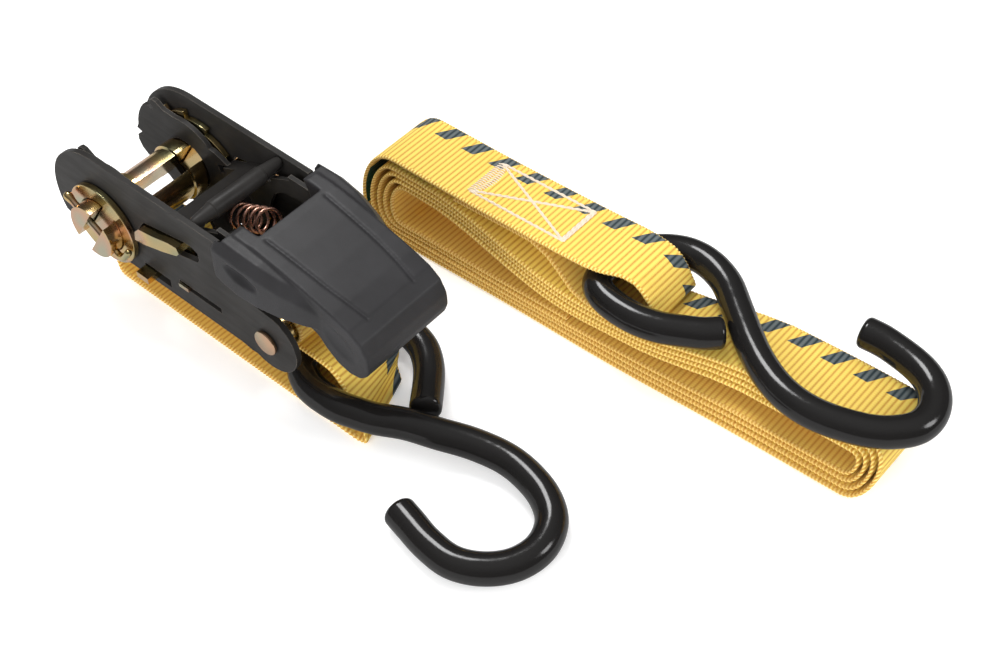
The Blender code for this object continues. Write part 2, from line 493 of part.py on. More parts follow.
def build_long_strap():
    """Long strap in a flat coil, folded and sewn around the eye of its hook."""
    PITCH = 1.68
    END_TOP, END_UNDER = 30.2, 28.5
    LAYERS = 5

    def coil_top(x):
        """Height of the first coil layer below the sewn end, along the coil."""
        return 26.8 - 11.2 * smooth(x, 60.0, 122.0) + 1.4 * smooth(x, 148.0, 178.0)

    def left_turn(k):
        """Half turn at the left end from bottom layer k up to top layer k (0 is outermost)."""
        x = 38.4 + 2.9 * (k - 1) if k else 35.0
        z0 = WEB_T / 2 + k * PITCH
        z1 = END_TOP if k == 0 else coil_top(50) - (k - 1) * PITCH
        r = (z1 - z0) / 2
        depth = r * (0.66 if k else 0.72)
        zc = (z0 + z1) / 2
        pts = []
        for j in range(15):
            a = math.radians(-90 - 180 * j / 14)
            pts.append((x + depth + depth * math.cos(a), zc + r * math.sin(a)))
        return pts

    def right_turn(k):
        """Half turn at the right end from top layer k down to bottom layer k."""
        x = 227.6 - 2.2 * k
        z0 = WEB_T / 2 + k * PITCH
        z1 = coil_top(200) - k * PITCH
        r = (z1 - z0) / 2
        depth = max(1.6, r * 0.8)
        zc = (z0 + z1) / 2
        pts = []
        for j in range(9):
            a = math.radians(90 - 22.5 * j)
            pts.append((x - depth + depth * math.cos(a), zc + r * math.sin(a)))
        return pts

    inner_z = WEB_T / 2 + (LAYERS - 1) * PITCH
    path = [(120.0, inner_z), (100.0, inner_z), (80.0, inner_z), (66.0, inner_z)]
    top_x = [58.0, 66.0, 72.0, 78.0, 84.0, 90.0, 96.0, 102.0, 108.0, 114.0, 120.0, 126.0, 146.0, 154.0,
             162.0, 170.0, 180.0, 200.0, 212.0]
    for k in range(LAYERS - 1, 0, -1):
        path += left_turn(k)
        path += [(x, coil_top(x) - (k - 1) * PITCH) for x in top_x]
        path += right_turn(k - 1)
        z = WEB_T / 2 + (k - 1) * PITCH
        path += [(x, z) for x in (205.0, 180.0, 150.0, 120.0, 90.0, 65.0)]
    path += left_turn(0)
    n_loop = len(path) + 5
    path += [(58.0, END_TOP), (75.0, END_TOP), (90.0, END_TOP), (103.0, END_TOP), (112.8, END_TOP),
             (118.0, 30.3), (123.0, 30.5), (128.0, 30.6), (134.0, 30.4), (138.4, 29.6), (141.6, 27.6),
             (144.2, 24.6), (146.0, 21.4)]
    path += arc(146.0, 18.8, 1.6, 50, -80, 6)
    path += [(143.0, 17.1), (132.0, 17.1), (125.0, 17.2), (120.0, 18.5), (114.6, 22.4), (109.0, 26.2),
             (102.0, END_UNDER), (92.0, END_UNDER), (82.0, END_UNDER), (72.0, END_UNDER)]

    def long_centre(i, x, z):
        """The loop at the sewn end leans away a little and closes between the arms of the hook's eye."""
        y = 66.5 + 0.045 * (x - 45.0) + z * (0.17 + 0.42 * smooth(x, 130.0, 185.0))
        if i < n_loop or z < 18.5:
            return y
        return y + (77.9 - y) * smooth(x, 124.0, 139.0)

    def long_width(i, x, z):
        if i < n_loop or z < 18.5:
            return WEB_W
        return WEB_W - 4.2 * smooth(x, 125.0, 137.0)

    ribbon("long_strap", path, long_centre, lambda i, x, z, s: 0.0, web_yellow, long_width)

    y_mid = long_centre(0, 96.0, END_TOP)
    z0, z1 = END_TOP + WEB_T / 2 + 0.3, END_TOP + WEB_T / 2 + 0.8
    box_x0, box_x1, box_h = 74.0, 112.0, 8.6
    stitch = boxes("long_strap_stitching",
                   [((box_x0, box_x0 + 2.2), (y_mid - box_h, y_mid + box_h), (z0, z1))], thread)
    bars = [((box_x1 - 1.6, box_x1), (y_mid - box_h, y_mid + box_h), (z0, z1)),
            ((box_x0, box_x1), (y_mid - box_h, y_mid - box_h + 1.2), (z0, z1)),
            ((box_x0, box_x1), (y_mid + box_h - 1.2, y_mid + box_h), (z0, z1))]
    for i, span in enumerate(bars):
        boolean(stitch, boxes("add_box_side_%d" % i, [span], tool=True), "UNION")
    cx, cy = (box_x0 + box_x1) / 2, y_mid
    for i, s in enumerate((-1, 1)):
        bm = bmesh.new()
        add_prism(bm, [(-19.6, z0), (19.6, z0), (19.6, z1), (-19.6, z1)], -0.6, 0.6)
        turn_z = Matrix.Rotation(s * math.atan2(box_h, 18.6), 4, "Z")
        bmesh.ops.transform(bm, matrix=Matrix.Translation((cx, cy, 0)) @ turn_z, verts=bm.verts)
        boolean(stitch, finish_mesh("add_box_cross_%d" % i, bm, tool=True), "UNION")

    hook_2 = [(200.6, 102.0, 23.15), (206.0, 102.4, 23.15), (213.0, 101.7, 23.15), (219.8, 100.2, 23.15),
              (225.2, 97.4, 23.15), (229.3, 92.8, 23.15), (231.4, 86.7, 23.15), (230.6, 80.4, 23.15),
              (226.5, 74.9, 23.15), (220.7, 70.5, 23.15), (212.1, 67.1, 23.15), (204.1, 65.5, 23.15),
              (196.5, 65.9, 23.15), (188.9, 68.2, 23.15), (180.8, 72.6, 23.15), (172.4, 78.8, 23.15),
              (164.6, 85.2, 23.15), (156.9, 91.2, 23.15), (148.9, 94.4, 23.15), (141.7, 94.6, 23.15),
              (135.4, 92.0, 23.15), (129.6, 86.6, 23.15), (126.0, 79.6, 23.15), (124.9, 72.4, 23.15),
              (126.2, 65.8, 23.15), (130.3, 62.6, 23.15), (137.0, 61.2, 23.15), (144.6, 61.4, 23.15),
              (151.6, 63.3, 23.15), (158.4, 66.9, 23.15), (163.4, 70.0, 23.15), (166.6, 73.0, 23.15)]
    tube("hook_long", resample(hook_2, 3.0), WIRE_R, vinyl, 16)


def parent_bodies():
    """Parent each moving piece to an empty on its joint axis."""
    centre = Vector((0, 0, AXIS_Z + LIFT)) * MM
    turning = ("spindle_half_upper", "spindle_half_lower", "ratchet_wheel_near", "ratchet_wheel_far",
               "spindle_washer_near", "spindle_washer_far", "cotter_pin_near", "cotter_pin_far")
    swinging = ("handle_plate_near", "handle_plate_far", "grip", "grip_pin", "drive_pawl",
                "drive_spring")
    for name, kids in (("spindle_axis", turning), ("handle_axis", swinging)):
        empty = bpy.data.objects.new(name, None)
        empty.location = centre
        part_coll.objects.link(empty)
        for kid in kids:
            ob = bpy.data.objects[kid]
            ob.parent = empty
            ob.matrix_parent_inverse = Matrix.Translation(-centre)


build_frame()
build_spindle()
build_handle()
build_lock_pawl()
level = 0.0
build_short_strap()
build_long_strap()
parent_bodies()
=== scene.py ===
"""Looks for the one-inch ratchet strap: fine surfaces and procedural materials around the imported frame.

New meshes are drawn in millimetres and scaled to metres when they are made; CAD meshes, lamps and
materials are in metres. World frame: the spindle axis runs along Y at x = 0, the buckle's tail
points along +X and the floor is z = 0.
"""
import json
import math

import bmesh
import bpy
import numpy as np
from mathutils import Matrix, Vector


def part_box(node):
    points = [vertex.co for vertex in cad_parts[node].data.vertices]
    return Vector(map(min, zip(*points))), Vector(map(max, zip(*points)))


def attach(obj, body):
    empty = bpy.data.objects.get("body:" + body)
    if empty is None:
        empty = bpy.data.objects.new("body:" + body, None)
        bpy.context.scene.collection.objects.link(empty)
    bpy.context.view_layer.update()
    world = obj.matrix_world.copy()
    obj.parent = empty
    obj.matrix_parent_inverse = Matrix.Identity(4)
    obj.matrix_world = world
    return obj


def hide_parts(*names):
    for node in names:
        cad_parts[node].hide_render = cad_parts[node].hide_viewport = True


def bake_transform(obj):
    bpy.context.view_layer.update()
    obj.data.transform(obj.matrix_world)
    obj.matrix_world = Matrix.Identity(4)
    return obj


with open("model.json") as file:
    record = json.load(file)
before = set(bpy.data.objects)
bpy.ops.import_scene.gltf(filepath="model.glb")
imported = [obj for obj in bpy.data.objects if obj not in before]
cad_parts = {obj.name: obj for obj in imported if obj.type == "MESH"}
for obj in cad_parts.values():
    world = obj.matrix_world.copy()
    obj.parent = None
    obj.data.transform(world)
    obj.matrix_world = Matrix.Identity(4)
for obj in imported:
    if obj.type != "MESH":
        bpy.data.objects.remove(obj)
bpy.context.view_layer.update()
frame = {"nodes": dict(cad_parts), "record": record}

MM = 0.001
WELD = 1e-6              # metres: vertices closer than this are one

# buckle
LIFT = 8.5               # its base line above the floor
AXIS_Z = 33.5            # spindle axis above the floor
SLOT_DEG = 58.0          # slope of the spindle's slot, which the cotter pins cross
COTTER_Y = 24.8          # cotter pins from the middle plane
PAWL_DEG = 25.0          # slope of the drive pawl's slide

# webbing
WEB_W, WEB_T = 25.4, 1.3         # width and thickness
RIB = 1.8                # pitch of the cross ribs
BEAD = 1.2               # pitch of the beads along the selvages
STEPS_PER_RIB = 5        # mesh rows along each rib
YARN = 0.84              # pitch of the lengthways yarns
DASH_PITCH, DASH_SHARE, DASH_SLANT = 11.2, 0.44, 0.62
DASH_FROM, DASH_TO = 5.8, 12.3   # the dashes' band, from the middle of the webbing
SEAM_Y = 4.0             # middle of the short strap's sewn end
END_TOP, END_UNDER = 30.2, 28.5  # heights of the long strap's two sewn layers
PITCH, LAYERS = 1.68, 5  # spacing and number of the coil's layers
TEAL_X, TEAL_Y = 62.0, 40.0      # the teal back shows where x is less and y is more than these
OUTER_TURN_X = 37.0      # left of this there is only the coil's outer turn

# sewing
THREAD_R = 0.248         # radius of a strand
STITCH = 2.5             # length of a stitch
BOX_X0, BOX_X1 = 74.6, 111.4     # ends of the box on the long strap
BOX_HALF = 8.2           # half its width
BOX_SKEW = 0.9           # how far its long sides drift sideways
SATIN_STROKES = 17       # stitches in the patch at its left end

# hooks
WIRE_R = 4.95            # radius of the coated wire
WIRE_SIDES = 16          # corners of the CAD wire's rings
RIM_RINGS = 3            # rings that round each tip of the CAD wire

# camera: place in millimetres, angles in degrees
CAM_AT = (320.8, -215.5, 392.5)
CAM_YAW, CAM_PITCH, CAM_ROLL = 39.73, 48.95, 0.54
CAM_LENS, CAM_SENSOR = 58.54, 36.0      # focal length and sensor width in millimetres

BODY_OF = {node: body for body, nodes in frame["record"]["behaviour"]["bodies"].items()
           for node in nodes}


# ---------------------------------------------------------------- node helpers
class Shader:
    """A Principled material that is built up with short calls."""

    def __init__(self, name):
        self.mat = bpy.data.materials.new(name)
        self.mat.use_nodes = True
        self.tree = self.mat.node_tree
        self.bsdf = self.tree.nodes["Principled BSDF"]

    def node(self, kind, inputs=None, **props):
        n = self.tree.nodes.new(kind)
        for key, value in props.items():
            setattr(n, key, value)
        for key, value in (inputs or {}).items():
            self.put(n.inputs[key], value)
        return n

    def put(self, socket, value):
        if isinstance(value, bpy.types.NodeSocket):
            self.tree.links.new(value, socket)
        else:
            socket.default_value = value

    def set(self, **inputs):
        for key, value in inputs.items():
            self.put(self.bsdf.inputs[key.replace("_", " ")], value)

    def math(self, op, a, b=0.0):
        n = self.node("ShaderNodeMath", operation=op)
        for i, value in enumerate((a, b)):
            self.put(n.inputs[i], value)
        return n.outputs[0]

    def coords(self):
        return self.node("ShaderNodeTexCoord").outputs["Object"]

    def noise(self, scale, detail=3.0, rough=0.5):
        n = self.node("ShaderNodeTexNoise", {"Scale": scale, "Detail": detail, "Roughness": rough})
        self.put(n.inputs["Vector"], self.coords())
        return n.outputs["Fac"]

    def ramp(self, fac, stops):
        n = self.node("ShaderNodeValToRGB", {"Fac": fac})
        while len(n.color_ramp.elements) < len(stops):
            n.color_ramp.elements.new(0.5)
        for element, (place, colour) in zip(n.color_ramp.elements, stops):
            element.position = place
            element.color = (*colour, 1.0)
        return n.outputs["Color"]

    def remap(self, fac, a, b, lo, hi):
        """lo to hi as fac goes from a to b, held outside."""
        return self.node("ShaderNodeMapRange", {"Value": fac, "From Min": a, "From Max": b,
                                                "To Min": lo, "To Max": hi}).outputs["Result"]

    def mix(self, fac, a, b):
        n = self.node("ShaderNodeMix", data_type="RGBA")
        self.put(n.inputs[0], fac)
        for socket, value in ((n.inputs[6], a), (n.inputs[7], b)):
            self.put(socket, (*value, 1.0) if isinstance(value, tuple) else value)
        return n.outputs[2]

    def bump(self, height, strength, distance, normal=None):
        n = self.node("ShaderNodeBump", {"Height": height, "Strength": strength,
                                         "Distance": distance})
        if normal:
            self.put(n.inputs["Normal"], normal)
        return n.outputs["Normal"]

    def edges(self, radius):
        """1 on the rounded outer edges, 0 on flats: where the rounded normal leaves the true one."""
        bevel = self.node("ShaderNodeBevel", {"Radius": radius}, samples=4)
        true = self.node("ShaderNodeNewGeometry").outputs["Normal"]
        dot = self.node("ShaderNodeVectorMath", operation="DOT_PRODUCT")
        self.put(dot.inputs[0], bevel.outputs[0])
        self.put(dot.inputs[1], true)
        return self.remap(dot.outputs["Value"], 0.985, 0.86, 0.0, 1.0)


def painted_steel():
    """Satin black paint, a little cloudy and streaky, lighter grey along the edges: partly worn paint,
    partly a painted edge highlight.
    """
    s = Shader("satin_black_steel")
    cloud = s.noise(90.0, 4.0)
    fine = s.noise(2600.0, 2.0)
    scuff = s.node("ShaderNodeTexNoise", {"Scale": 160.0, "Detail": 6.0, "Distortion": 0.6})
    stretch = s.node("ShaderNodeMapping", {"Scale": (0.35, 1.0, 2.2)})
    s.put(stretch.inputs["Vector"], s.coords())
    s.put(scuff.inputs["Vector"], stretch.outputs[0])
    base = s.mix(s.remap(cloud, 0.3, 0.7, 0.0, 1.0), (0.018, 0.0166, 0.0155), (0.028, 0.0262, 0.0248))
    # lighter grey edges, patchy: partly worn paint, partly a painted highlight along the edges
    edge_wear_and_glint = s.math("MULTIPLY", s.edges(0.0004), s.remap(scuff.outputs["Fac"], 0.42, 0.62, 0.1, 0.9))
    s.set(Base_Color=s.mix(edge_wear_and_glint, base, (0.17, 0.15, 0.125)), Metallic=0.0, Specular_IOR_Level=0.16,
          Roughness=s.remap(scuff.outputs["Fac"], 0.3, 0.75, 0.36, 0.50),
          Normal=s.bump(fine, 0.18, 0.00004))
    return s.mat


def zinc_plate():
    """Yellow zinc plating whose tint drifts from olive to gold and copper over the part; its edges are
    paler, partly worn plating, partly a painted highlight.
    """
    s = Shader("yellow_zinc")
    drift = s.noise(55.0, 1.0, 0.5)
    fine = s.noise(900.0, 3.0)
    tint = s.ramp(drift, [(0.30, (0.40, 0.46, 0.28)), (0.41, (0.68, 0.54, 0.25)),
                          (0.50, (0.82, 0.58, 0.26)), (0.58, (0.80, 0.50, 0.32)),
                          (0.68, (0.60, 0.56, 0.40))])
    # paler metal along the edges: partly worn plating, partly a painted highlight
    edge_wear_and_glint = s.math("MULTIPLY", s.edges(0.0003), 0.5)
    s.set(Base_Color=s.mix(edge_wear_and_glint, tint, (0.80, 0.74, 0.62)), Metallic=1.0,
          Roughness=s.remap(fine, 0.3, 0.7, 0.17, 0.23), Normal=s.bump(drift, 0.15, 0.0006))
    return s.mat


def grip_plastic():
    """Charcoal plastic with a fine moulded grain."""
    s = Shader("charcoal_plastic")
    grain = s.noise(3200.0, 2.0, 0.6)
    cloud = s.noise(70.0, 4.0)
    s.set(Base_Color=s.mix(s.remap(cloud, 0.3, 0.7, 0.0, 1.0), (0.0185, 0.0178, 0.0188),
                           (0.027, 0.0260, 0.0280)),
          Roughness=s.remap(grain, 0.3, 0.7, 0.42, 0.54), Specular_IOR_Level=0.35,
          Normal=s.bump(grain, 0.35, 0.00006, s.bump(cloud, 0.10, 0.0004)))
    return s.mat


def vinyl():
    """Glossy black dipped coating with a slow wave in it."""
    s = Shader("black_vinyl")
    wave = s.noise(140.0, 2.0)
    dust = s.noise(1500.0, 4.0)
    s.set(Base_Color=(0.0095, 0.0088, 0.0085, 1.0), Roughness=s.remap(dust, 0.35, 0.75, 0.13, 0.20),
          Specular_IOR_Level=0.45, Normal=s.bump(wave, 0.22, 0.0005, s.bump(dust, 0.03, 0.00003)))
    return s.mat


def spring_wire(name, colour):
    """Bare plated wire, patchy in colour and gloss."""
    s = Shader(name)
    fine = s.noise(700.0, 3.0)
    dark = tuple(0.6 * c for c in colour)
    s.set(Base_Color=s.mix(s.remap(fine, 0.35, 0.65, 0.0, 1.0), dark, colour), Metallic=1.0,
          Roughness=s.remap(fine, 0.3, 0.7, 0.22, 0.36))
    return s.mat


def webbing_cloth():
    """Ribbed yellow webbing; slanted slate dashes run along one edge of its face. The back of the
    sewn end, where the outer turn opens, is teal."""
    s = Shader("yellow_webbing")
    along = s.node("ShaderNodeAttribute", attribute_name="along").outputs["Fac"]
    across = s.node("ShaderNodeAttribute", attribute_name="across").outputs["Fac"]
    side = s.node("ShaderNodeAttribute", attribute_name="side").outputs["Fac"]
    rib = s.math("ABSOLUTE", s.math("SINE", s.math("MULTIPLY", along, math.pi / RIB)))
    warp = s.math("SINE", s.math("MULTIPLY", across, 4 * math.pi / YARN))
    shift = s.math("FLOOR", s.math("DIVIDE", along, RIB))
    weave = s.math("SINE", s.math("ADD", s.math("MULTIPLY", across, 2 * math.pi / YARN),
                                  s.math("MULTIPLY", shift, math.pi)))
    cloud = s.noise(45.0, 3.0)
    fibre = s.noise(2400.0, 4.0, 0.7)
    # painted shade in the rib grooves and painted light on the rib crests: orange-brown in the grooves,
    # pale yellow on the crests
    yellow = s.mix(s.remap(rib, 0.15, 0.85, 0.0, 1.0), (0.56, 0.270, 0.036), (0.89, 0.665, 0.125))
    yellow = s.mix(s.remap(fibre, 0.45, 0.75, 0.0, 0.45), yellow, (0.84, 0.62, 0.20))
    yellow = s.mix(s.remap(cloud, 0.35, 0.75, 0.0, 0.25), yellow, (0.68, 0.40, 0.055))
    edge = s.math("GREATER_THAN", s.math("ABSOLUTE", across), WEB_W / 2 - 1.1)
    # painted light and shade on the selvage beads: each bead's top is painted pale yellow, the gap before
    # the next dark orange
    bead = s.math("SINE", s.math("ADD", s.math("MULTIPLY", along, 2 * math.pi / BEAD),
                                 s.math("MULTIPLY", side, math.pi / 2)))
    beaded = s.mix(s.remap(bead, -0.4, 0.7, 0.0, 1.0), (0.55, 0.26, 0.028), (1.0, 0.80, 0.27))
    yellow = s.mix(s.math("MULTIPLY", edge, 0.75), yellow, beaded)
    slant = s.math("ADD", along, s.math("MULTIPLY", across, -DASH_SLANT))
    dash = s.math("LESS_THAN", s.math("FRACT", s.math("DIVIDE", slant, DASH_PITCH)), DASH_SHARE)
    band = s.math("MULTIPLY", s.math("GREATER_THAN", across, DASH_FROM),
                  s.math("LESS_THAN", across, DASH_TO))
    front = s.math("GREATER_THAN", side, 0.0)
    rear = s.math("SUBTRACT", 1.0, front)
    # painted shade: the back face of the webbing is darkened towards orange-brown
    yellow = s.mix(s.math("MULTIPLY", rear, 0.35), yellow, (0.46, 0.19, 0.05))
    # the dashes are painted lighter on the rib crests and darker in the grooves: painted light and shade
    # on the ribs
    slate = s.mix(s.remap(rib, 0.3, 1.0, 0.0, 0.75), (0.020, 0.034, 0.042), (0.150, 0.175, 0.175))
    faced = s.mix(s.math("MULTIPLY", s.math("MULTIPLY", band, dash), front), yellow, slate)
    place_xyz = s.node("ShaderNodeSeparateXYZ")
    s.put(place_xyz.inputs[0], s.coords())
    outer = s.math("MAXIMUM", s.math("GREATER_THAN", place_xyz.outputs["Z"], (END_TOP - 1.6) * MM),
                   s.math("LESS_THAN", place_xyz.outputs["X"], OUTER_TURN_X * MM))
    inside = s.math("MULTIPLY", rear,
                    s.math("LESS_THAN", s.math("ABSOLUTE", across), WEB_W / 2 - 0.8))
    opened = s.math("MULTIPLY", s.math("LESS_THAN", place_xyz.outputs["X"], TEAL_X * MM),
                    s.math("GREATER_THAN", place_xyz.outputs["Y"], TEAL_Y * MM))
    opened = s.math("MULTIPLY", inside, opened)
    faced = s.mix(s.math("MULTIPLY", outer, opened), faced, (0.004, 0.052, 0.030))
    height = s.math("ADD", s.math("MULTIPLY", weave, 0.5), s.math("MULTIPLY", warp, 0.35))
    s.set(Base_Color=faced, Roughness=0.66, Specular_IOR_Level=0.28, Sheen_Weight=0.10,
          Sheen_Roughness=0.4,
          Normal=s.bump(height, 0.35, 0.00006, s.bump(fibre, 0.25, 0.00005)))
    s.put(s.bsdf.inputs["Sheen Tint"], (1.0, 0.86, 0.5, 1.0))
    return s.mat


def sewing_thread():
    """Twisted cream thread."""
    s = Shader("cream_thread")
    fibre = s.noise(2600.0, 4.0, 0.7)
    s.set(Base_Color=s.mix(fibre, (0.66, 0.53, 0.40), (0.88, 0.79, 0.66)), Roughness=0.6,
          Sheen_Weight=0.1, Normal=s.bump(fibre, 0.4, 0.00006))
    return s.mat


steel = painted_steel()
zinc = zinc_plate()
plastic = grip_plastic()
coated = vinyl()
copper = spring_wire("copper_wire", (0.80, 0.44, 0.33))
zinc_wire = spring_wire("zinc_wire", (0.72, 0.60, 0.36))
cloth = webbing_cloth()
thread = sewing_thread()


# ---------------------------------------------------------------- mesh helpers
def smooth(x, a, b):
    t = min(1.0, max(0.0, (x - a) / (b - a)))
    return t * t * (3 - 2 * t)


def place(name, mesh, mat, slot, node, rides=True):
    """Link a finished mesh, let it stand for its CAD node and ride it on that node's body."""
    mesh.materials.clear()
    mesh.materials.append(mat)
    ob = bpy.data.objects.new(name, mesh)
    bpy.context.scene.collection.objects.link(ob)
    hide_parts(node)
    if rides:
        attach(ob, BODY_OF[node])
    return ob


def mesh_of(name, bm):
    """A bmesh in millimetres as a smooth-shaded mesh in metres."""
    bmesh.ops.scale(bm, vec=(MM, MM, MM), verts=bm.verts)
    bmesh.ops.recalc_face_normals(bm, faces=bm.faces)
    mesh = bpy.data.meshes.new(name)
    bm.to_mesh(mesh)
    bm.free()
    mesh.shade_smooth()
    return mesh


def resample(pts, step):
    """Catmull-Rom through the points, at roughly even spacing."""
    pts = [Vector(p) for p in pts]
    ext = [2 * pts[0] - pts[1]] + pts + [2 * pts[-1] - pts[-2]]
    out = []
    for i in range(1, len(ext) - 2):
        a, b, c, d = ext[i - 1:i + 3]
        n = max(1, round((c - b).length / step))
        for k in range(n):
            t = k / n
            out.append(0.5 * ((2 * b) + (c - a) * t + (2 * a - 5 * b + 4 * c - d) * t * t
                              + (3 * b - a - 3 * c + d) * t ** 3))
    out.append(pts[-1])
    return out


def add_tube(bm, path, radius, n=24, cap=6, rim=1.0):
    """Sweep a circle along a path; radius is a number or a function of 0..1. The ends are full domes
    when rim is 1, and flat faces with a rounded rim when it is less."""
    path = [Vector(p) for p in path]
    last = len(path) - 1
    tang = [(path[min(i + 1, last)] - path[max(i - 1, 0)]).normalized() for i in range(last + 1)]
    size = radius if callable(radius) else (lambda t: radius)
    stations = [(p, t, size(i / last)) for i, (p, t) in enumerate(zip(path, tang))]
    turns = [math.pi / 2 * (k + 0.5) / cap for k in range(cap)]
    dome = [(rim * math.cos(a), 1.0 - rim + rim * math.sin(a)) for a in turns]
    head = [(path[0] - tang[0] * size(0) * far, tang[0], size(0) * wide) for far, wide in dome]
    tail = [(path[-1] + tang[-1] * size(1) * far, tang[-1], size(1) * wide)
            for far, wide in reversed(dome)]
    side = tang[0].orthogonal().normalized()
    rings = []
    for p, t, rad in head + stations + tail:
        side = (side - t * side.dot(t)).normalized()
        up = t.cross(side)
        rings.append([bm.verts.new(p + rad * (side * math.cos(2 * math.pi * k / n)
                                              + up * math.sin(2 * math.pi * k / n)))
                      for k in range(n)])
    for a, b in zip(rings, rings[1:]):
        for k in range(n):
            bm.faces.new((a[k], a[(k + 1) % n], b[(k + 1) % n], b[k]))
    bm.faces.new(rings[0][::-1])
    bm.faces.new(rings[-1])


def cad_bmesh(node):
    """The CAD solid of a node as a welded bmesh, in metres."""
    bm = bmesh.new()
    bm.from_mesh(frame["nodes"][node].data)
    bmesh.ops.remove_doubles(bm, verts=bm.verts, dist=WELD)
    return bm


def refine(node, mat, slot, bevel, segments=2):
    """A CAD solid with its flats merged and its edges rounded, standing for that node."""
    flat, sharp = math.radians(0.7), math.radians(30.0)
    bm = cad_bmesh(node)
    bmesh.ops.dissolve_limit(bm, angle_limit=flat, verts=bm.verts, edges=bm.edges)
    mesh = bpy.data.meshes.new(node + "_mesh")
    bm.to_mesh(mesh)
    bm.free()
    mesh.shade_smooth()
    mesh.set_sharp_from_angle(angle=sharp)
    ob = place(node + "_fine", mesh, mat, slot, node)
    mod = ob.modifiers.new("rounded_edges", "BEVEL")
    mod.width = bevel * MM
    mod.segments = segments
    mod.limit_method = "ANGLE"
    mod.angle_limit = sharp
    mod.use_clamp_overlap = True
    mod.harden_normals = True


# ---------------------------------------------------------------- buckle
def build_buckle():
    """The metal pieces: the CAD forms with edges rounded by the given millimetres."""
    refine("base_frame", steel, "black_steel", 0.35, 3)
    for tag in ("near", "far"):
        refine("handle_plate_" + tag, steel, "black_steel", 0.3)
        refine("ratchet_wheel_" + tag, zinc, "zinc", 0.22)
        refine("spindle_washer_" + tag, zinc, "zinc", 0.3)
    refine("spindle_half_upper", zinc, "zinc", 0.5, 3)
    refine("spindle_half_lower", zinc, "zinc", 0.5, 3)
    refine("drive_pawl", steel, "black_steel", 0.3)
    refine("lock_pawl", zinc, "zinc", 0.45, 3)
    refine("grip_pin", steel, "black_steel", 0.2)
    refine("tail_rivet", zinc, "zinc", 0.3, 3)
    refine("tail_roller", zinc, "zinc", 0.2)


def build_cotters():
    """One bent round wire for each cotter pin, thicker at its head and hooked at its tail."""
    ux, uz = math.cos(math.radians(SLOT_DEG)), math.sin(math.radians(SLOT_DEG))
    nx, nz = -uz, ux
    for tag, y in (("near", -COTTER_Y), ("far", COTTER_Y)):
        line = [(13.2, 0.0), (9.0, 0.0), (0.0, 0.0), (-8.0, 0.0), (-10.4, 0.1), (-11.8, 0.9),
                (-12.6, 2.6), (-12.8, 7.0)]
        path = [(nx * n + ux * u, y, AXIS_Z + nz * n + uz * u) for n, u in line]
        bm = bmesh.new()
        add_tube(bm, resample(path, 0.5), lambda t: 1.15 + 0.35 * smooth(1 - t, 0.9, 1.0), 20)
        place("cotter_pin_%s_fine" % tag, mesh_of("cotter_" + tag, bm), zinc, "zinc",
              "cotter_pin_" + tag)


def spring(name, node, start, step, across, up, radius, wire, turns, mat, slot):
    """A round-wire coil of even turns from start, along step."""
    bm = bmesh.new()
    start, step, across, up = (Vector(v) for v in (start, step, across, up))
    pts = []
    count = int(turns * 26)  # 26 points a turn
    for i in range(count + 1):
        t = i / count
        a = 2 * math.pi * turns * t
        pts.append(start + step * t + across * (radius * math.sin(a)) + up * (radius * math.cos(a)))
    add_tube(bm, pts, wire, 12, 3)
    ob = place(name, mesh_of(name, bm), mat, slot, node, rides=False)
    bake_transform(ob)


def build_springs():
    """The drive pawl's copper spring and the lock pawl's zinc one."""
    c, s = math.cos(math.radians(PAWL_DEG)), math.sin(math.radians(PAWL_DEG))
    ray, square = Vector((c, 0, s)), Vector((-s, 0, c))
    start = Vector((0, 0, AXIS_Z)) + ray * 39.3 + square * -5.4
    spring("drive_spring_fine", "drive_spring", start, ray * 18.2, (0, 1, 0), square, 3.9, 0.5, 5.5,
           copper, "copper")
    spring("lock_spring_fine", "lock_spring", (31.0, 0, 16.3 + LIFT), (22.8, 0, 0), (0, 1, 0),
           (0, 0, 1), 2.6, 0.42, 6.0, zinc_wire, "zinc")


# ---------------------------------------------------------------- grip
def deck_z(x):
    """Height of the grip's top along its length."""
    xs = (57.0, 66.0, 75.0, 85.0, 95.0, 101.5, 105.6, 107.8)
    zs = (54.2, 53.8, 52.2, 50.0, 47.4, 45.2, 42.2, 38.0)
    return float(np.interp(x, xs, zs)) + LIFT


def cutter(name, bm):
    """A closed form to cut the grip with; it is removed again after the cut."""
    mesh = mesh_of(name, bm)
    ob = bpy.data.objects.new(name, mesh)
    bpy.context.scene.collection.objects.link(ob)
    return ob


def ellipsoid(name, centre, radii, tilt):
    """An ellipsoid cutter, turned about Y by tilt degrees."""
    bm = bmesh.new()
    bmesh.ops.create_uvsphere(bm, u_segments=48, v_segments=24, radius=1.0)
    move = (Matrix.Translation(centre) @ Matrix.Rotation(math.radians(tilt), 4, "Y")
            @ Matrix.Diagonal((*radii, 1.0)))
    bmesh.ops.transform(bm, matrix=move, verts=bm.verts)
    return cutter(name, bm)


